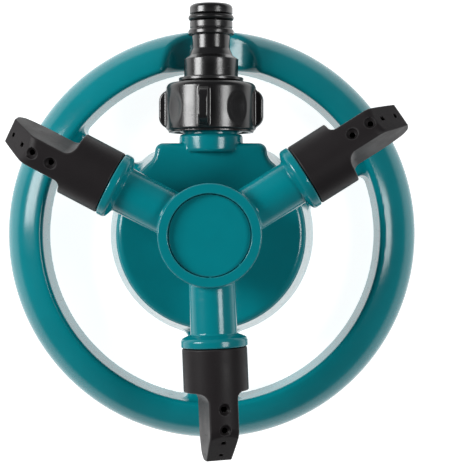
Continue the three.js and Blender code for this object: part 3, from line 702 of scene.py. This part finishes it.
def make_connector():
    low, high = (-FIN_R, -FIN_R, NUT_Y[0]), (FIN_R, FIN_R, NUT_Y[1])
    nut = carved(nut_field, low, high, 0.4)
    add_piece("hose_nut", nut, ALONG_INLET, "connector_plastic", "nut", "connector_nut")
    rings = [
        ("hose_nipple", turned(NIPPLE_OUTLINE), "connector_plastic", "quick_connector"),
        ("nipple_ring_seal", seal_ring(7.5, 1.1, 81.6), "seal_rubber", "connector_seal"),
        ("flat_washer", washer(7, 12, 48.1, 50.5, 0.4), "seal_rubber", "inlet_washer"),
    ]
    for name, shape, slot, node in rings:
        add_piece(name, shape, ALONG_INLET, slot, "connector", node)


# ---------------------------------------------------------------- materials
def add(tree, kind, values, **settings):
    """A shader node: values go on its sockets by name or number, settings on the node itself."""
    made = tree.nodes.new(kind)
    for key, value in settings.items():
        setattr(made, key, value)
    for key, value in values.items():
        if isinstance(value, bpy.types.NodeSocket):
            tree.links.new(value, made.inputs[key])
        else:
            made.inputs[key].default_value = value
    return made


def mix(tree, share, first, second):
    made = add(tree, "ShaderNodeMix", {0: share, 6: first, 7: second}, data_type="RGBA")
    return made.outputs[2]


def scaled_range(tree, value, low, high, start=0.3, end=0.7):
    """The value's stretch from start to end, mapped to low and high."""
    limits = {"From Min": start, "From Max": end, "To Min": low, "To Max": high}
    return add(tree, "ShaderNodeMapRange", {"Value": value, **limits}).outputs["Result"]


def noise(tree, where, size_mm, detail=2.0):
    settings = {"Vector": where, "Scale": 1 / (size_mm * MM), "Detail": detail}
    return add(tree, "ShaderNodeTexNoise", settings).outputs["Fac"]


PALE = 0.8  # what a worn edge fades towards


def finish(name, colour, roughness, grain, wear, scuff=0.08, gleam=0.5, stretch=(1, 1, 1), metal=0.0):
    """A moulded or turned surface: cloudy colour, patchy gloss, grain, fine scratches and worn edges.

    The grain is its size and depth in millimetres.
    """
    material = bpy.data.materials.new(name)
    material.use_nodes = True
    tree = material.node_tree
    shader = tree.nodes["Principled BSDF"]
    place = add(tree, "ShaderNodeTexCoord", {}).outputs["Object"]
    clouds = noise(tree, place, 22, 3.0)
    patches = noise(tree, place, 6, 4.0)
    shade = tuple(c * 0.93 for c in colour) + (1,)
    light = tuple(min(1, c * 1.07) for c in colour) + (1,)
    tone = mix(tree, scaled_range(tree, clouds, 0, 1), shade, light)
    bend = add(tree, "ShaderNodeAttribute", {}, attribute_name="bend").outputs["Fac"]
    worn = scaled_range(tree, bend, 0, wear, 0.6, 2.4)
    pale = tuple(c + 0.35 * (PALE - c) for c in colour) + (1,)
    tree.links.new(mix(tree, worn, tone, pale), shader.inputs["Base Color"])

    slanted = {"Vector": place, "Scale": (1, 6, 1), "Rotation": (0.4, 0.3, 0.7)}
    long_place = add(tree, "ShaderNodeMapping", slanted).outputs["Vector"]
    scuffs = scaled_range(tree, noise(tree, long_place, 5, 5.0), 0, scuff, 0.60, 0.72)
    gloss = scaled_range(tree, patches, roughness * 0.88, roughness * 1.12)
    rough = add(tree, "ShaderNodeMath", {0: gloss, 1: scuffs}, operation="ADD").outputs[0]
    tree.links.new(rough, shader.inputs["Roughness"])

    grain_mm, depth_mm = grain
    grain_place = add(tree, "ShaderNodeMapping", {"Vector": place, "Scale": stretch}).outputs["Vector"]
    height = noise(tree, grain_place, grain_mm, 3.0)
    bump = add(tree, "ShaderNodeBump", {"Height": height, "Distance": depth_mm * MM, "Strength": 1.0})
    tree.links.new(bump.outputs["Normal"], shader.inputs["Normal"])
    shader.inputs["Metallic"].default_value = metal
    shader.inputs["Specular IOR Level"].default_value = gleam
    return material


LOOKS = {
    "teal_plastic": {
        "colour": (0.001, 0.228, 0.266), "roughness": 0.17, "grain": (3.5, 0.004), "wear": 0.08,
        "gleam": 0.42,
    },
    "black_plastic": {
        "colour": (0.020, 0.0175, 0.0185), "roughness": 0.42, "grain": (0.55, 0.035), "wear": 0.06,
        "gleam": 0.14,
    },
    "connector_plastic": {
        "colour": (0.007, 0.0065, 0.007), "roughness": 0.24, "grain": (0.55, 0.016), "wear": 0.04,
        "scuff": 0.02, "gleam": 0.75,
    },
    "cover_plastic": {
        "colour": (0.002, 0.18, 0.21), "roughness": 0.38, "grain": (0.6, 0.010), "wear": 0.08,
    },
    "seal_rubber": {
        "colour": (0.006, 0.006, 0.006), "roughness": 0.34, "grain": (0.4, 0.006), "wear": 0.03,
        "scuff": 0.05,
    },
    "bearing_plastic": {
        "colour": (0.76, 0.75, 0.70), "roughness": 0.4, "grain": (0.5, 0.004), "wear": 0.05,
    },
    "stainless_steel": {
        "colour": (0.56, 0.57, 0.58), "roughness": 0.3, "grain": (0.3, 0.004), "wear": 0.1,
        "stretch": (1, 1, 8), "metal": 1.0,
    },
}
MATERIALS = {name: finish(name, **look) for name, look in LOOKS.items()}

# ---------------------------------------------------------------- light, floor and camera
CAMERA_H = 612 * MM
CAMERA_XY = (6.8 * MM, 4.6 * MM)
CAMERA_AIM = (9.1 * MM, -0.4 * MM)
VIEW_WIDTH = 185.9 * MM  # width of the floor that the camera sees
LAMP_DISTANCE = 1.2
FLOOR_GLOW = (0.93, 0.2)  # painted light: the floor glows most under the object, washing out its shadow there, and less further out
FLOOR_FADE = (0.14, 0.30)  # distances from the origin between which the glow falls


def make_camera():
    data = bpy.data.cameras.new("camera")
    data.sensor_width = 36
    data.lens = 36 * CAMERA_H / VIEW_WIDTH
    camera = bpy.data.objects.new("camera", data)
    camera.location = (*CAMERA_XY, CAMERA_H)
    tilt_x = math.atan((CAMERA_AIM[1] - CAMERA_XY[1]) / CAMERA_H)
    tilt_y = math.atan((CAMERA_AIM[0] - CAMERA_XY[0]) / CAMERA_H)
    camera.rotation_euler = (tilt_x, -tilt_y, 0)
    bpy.context.scene.collection.objects.link(camera)
    bpy.context.scene.camera = camera


def make_floor():
    bpy.ops.mesh.primitive_plane_add(size=6, location=(0, 0, -0.0005))
    floor = bpy.context.object
    floor.name = "floor"
    material = bpy.data.materials.new("floor")
    material.use_nodes = True
    tree = material.node_tree
    shader = tree.nodes["Principled BSDF"]
    shader.inputs["Base Color"].default_value = (0.6, 0.6, 0.6, 1)
    shader.inputs["Roughness"].default_value = 0.9
    shader.inputs["Specular IOR Level"].default_value = 0.1
    place = add(tree, "ShaderNodeTexCoord", {}).outputs["Object"]
    out = add(tree, "ShaderNodeVectorMath", {0: place}, operation="LENGTH").outputs["Value"]
    # painted pool of light: the floor's glow is strongest under the object, where it hides the object's
    # shadow
    glow = scaled_range(tree, out, *FLOOR_GLOW, *FLOOR_FADE)
    tree.links.new(glow, shader.inputs["Emission Strength"])
    shader.inputs["Emission Color"].default_value = (1, 1, 1, 1)
    floor.data.materials.append(material)


def softbox(name, lean_deg, forward, width, length, power):
    """A soft lamp that leans from the vertical towards +X and stands that far forward along Y."""
    data = bpy.data.lights.new(name, "AREA")
    data.shape = "RECTANGLE"
    data.size, data.size_y = width, length
    data.energy = power
    lamp = bpy.data.objects.new(name, data)
    lean = math.radians(lean_deg)
    lamp.location = (LAMP_DISTANCE * math.sin(lean), forward, LAMP_DISTANCE * math.cos(lean))
    lamp.rotation_euler = (0, lean, 0)
    bpy.context.scene.collection.objects.link(lamp)


def make_light():
    softbox("softbox_left", -56, 0.3, 0.6, 0.5, 13)
    softbox("softbox_right", 37, 0.04, 0.4, 0.35, 5)
    world = bpy.data.worlds.new("studio")
    world.use_nodes = True
    tree = world.node_tree
    way = add(tree, "ShaderNodeTexCoord", {}).outputs["Generated"]
    height = add(tree, "ShaderNodeSeparateXYZ", {"Vector": way}).outputs["Z"]
    fade = scaled_range(tree, height, 0, 1, 0.55, 0.95)
    sky = mix(tree, fade, (0.92, 0.95, 1.0, 1), (0.25, 0.26, 0.28, 1))
    tree.links.new(sky, tree.nodes["Background"].inputs["Color"])
    tree.nodes["Background"].inputs["Strength"].default_value = 0.15
    bpy.context.scene.world = world
    bpy.context.scene.view_settings.view_transform = "Standard"


make_base()
make_bearing()
make_rotor()
make_nozzles()
make_connector()
for ring_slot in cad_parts["retaining_ring"].material_slots:
    ring_slot.material = MATERIALS["stainless_steel"]
make_camera()
make_floor()
make_light()
